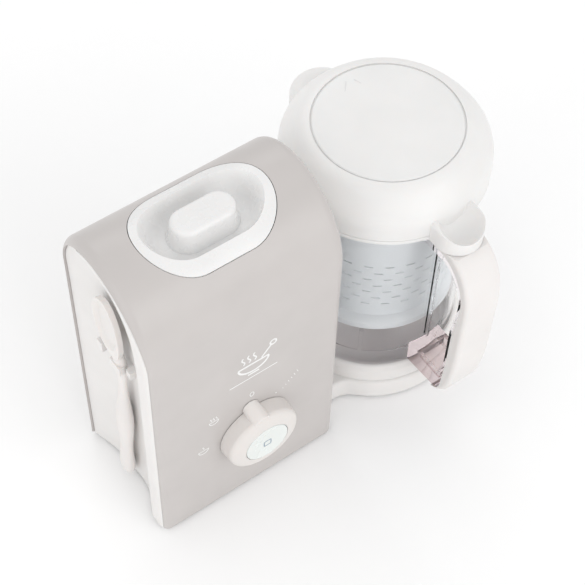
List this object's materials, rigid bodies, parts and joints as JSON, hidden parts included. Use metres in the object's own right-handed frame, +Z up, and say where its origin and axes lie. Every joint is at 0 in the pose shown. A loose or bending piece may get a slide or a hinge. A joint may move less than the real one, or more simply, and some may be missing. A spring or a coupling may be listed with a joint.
{
  "type": "baby food maker",
  "caption": "Countertop steamer-blender: slim arch-topped boiler body with selector dial and filler cap, and a handled clear jug with steam basket on a round drive platform.",
  "frame": {"origin": "on the floor under the centre of the bounding box", "axes": "+X from the body towards the jug, -Y is the front with the dial and the jug handle, +Z up"},
  "size_m": [0.303, 0.2, 0.266],
  "materials": {
    "shell_taupe": "fine satin moulded plastic",
    "white_panel": "satin moulded plastic",
    "white_gloss": "semi-gloss moulded plastic",
    "lid_white": "satin moulded plastic",
    "grip_white": "satin moulded plastic",
    "dial_white": "satin moulded plastic",
    "button_ice": "semi-gloss, faintly blue",
    "spatula_white": "satin food-grade plastic",
    "clear_bowl": "clear copolyester, faintly grey",
    "smoky_frame": "clear copolyester with a smoky tint",
    "basket_blue": "frosted pale blue translucent plastic",
    "base_grey": "matt moulded plastic",
    "inner_nylon": "natural nylon",
    "thermostat_black": "black phenolic or acetal",
    "board_green": "printed circuit board",
    "rubber_dark": "matt rubber",
    "silicone": "translucent silicone",
    "screw_steel": "plated steel",
    "boiler_steel": "drawn stainless steel",
    "blade_steel": "ground stainless steel",
    "motor_can": "zinc-plated can",
    "heater_aluminium": "cast aluminium",
    "bush_brass": "sintered bearing metal"
  },
  "bodies": {
    "root": {"outer_shell": "shell_taupe", "left_side_panel": "white_panel", "right_side_panel": "white_panel", "jug_platform": "white_panel", "base_pan": "base_grey", "rubber_feet": "rubber_dark", "housing_screws": "screw_steel", "inner_shelf": "inner_nylon", "motor_mount": "inner_nylon", "motor_damper": "rubber_dark", "drive_motor": "motor_can", "drive_belt": "rubber_dark", "spindle_bush": "bush_brass", "boiler_tank": "boiler_steel", "heater_plate": "heater_aluminium", "heating_element": "boiler_steel", "thermostat": "thermostat_black", "steam_pipe": "silicone", "steam_nozzle": "white_gloss", "steam_seal": "silicone", "filler_well": "white_panel", "selector_switch": "thermostat_black", "control_board": "board_green", "gland_plate": "shell_taupe", "cord_gland": "rubber_dark"},
    "motor_rotor": {"motor_shaft": "screw_steel", "motor_pulley": "inner_nylon", "cooling_fan": "inner_nylon"},
    "drive_spindle": {"drive_spindle": "screw_steel", "drive_pulley": "inner_nylon", "drive_dog": "thermostat_black"},
    "reservoir_cap": {"reservoir_cap": "white_gloss", "cap_grip": "white_gloss", "cap_seal": "silicone"},
    "selector_dial": {"selector_dial": "dial_white", "selector_shaft": "screw_steel", "button_spring": "screw_steel"},
    "centre_button": {"centre_button": "button_ice"},
    "jug": {"jug_bowl": "clear_bowl", "handle_frame": "smoky_frame", "jug_collar": "white_panel", "handle_grip": "grip_white", "blade_bush": "bush_brass"},
    "blade_unit": {"blade_shaft": "screw_steel", "blade_hub": "thermostat_black", "blades": "blade_steel", "jug_coupling": "thermostat_black"},
    "steam_basket": {"steam_basket": "basket_blue", "basket_floor": "basket_blue"},
    "jug_lid": {"jug_lid": "lid_white", "lid_disc": "lid_white", "lid_seal": "silicone"},
    "spatula": {"spatula": "spatula_white"}
  },
  "joints": [
    {"name": "drive_spin", "type": "hinge", "parent": "root", "child": "drive_spindle", "pos_m": [0.07875, 0.0142, 0.01], "axis": [0, 0, 1], "continuous": true},
    {"name": "motor_spin", "type": "hinge", "parent": "root", "child": "motor_rotor", "pos_m": [-0.05, 0.0142, 0.01], "axis": [0, 0, 1], "continuous": true},
    {"name": "jug_lift", "type": "slide", "parent": "root", "child": "jug", "axis": [0, 0, 1], "range_m": [0, 0.08]},
    {"name": "blade_spin", "type": "hinge", "parent": "jug", "child": "blade_unit", "pos_m": [0.07875, 0.0142, 0.06], "axis": [0, 0, 1], "continuous": true},
    {"name": "lid_lift", "type": "slide", "parent": "jug", "child": "jug_lid", "axis": [0, 0, 1], "range_m": [0, 0.28]},
    {"name": "basket_lift", "type": "slide", "parent": "jug", "child": "steam_basket", "axis": [0, 0, 1], "range_m": [0, 0.14]},
    {"name": "cap_lift", "type": "slide", "parent": "root", "child": "reservoir_cap", "axis": [0, 0, 1], "range_m": [0, 0.06]},
    {"name": "dial_turn", "type": "hinge", "parent": "root", "child": "selector_dial", "pos_m": [-0.0727, -0.05, 0.075], "axis": [0, -1, 0], "range_deg": [-45, 76]},
    {"name": "button_press", "type": "slide", "parent": "selector_dial", "child": "centre_button", "axis": [0, 1, 0], "range_m": [0, 0.0018], "stiffness_N_per_m": 900, "springref_m": -0.001},
    {"name": "spatula_pull", "type": "slide", "parent": "root", "child": "spatula", "axis": [-1, 0, 0], "range_m": [0, 0.05]}
  ],
  "couplings": [
    {"joint": "motor_spin", "follows": "drive_spin", "ratio": 2.4},
    {"joint": "blade_spin", "follows": "drive_spin", "ratio": 1},
    {"joint": "basket_lift", "follows": "lid_lift", "ratio": 0.5}
  ]
}
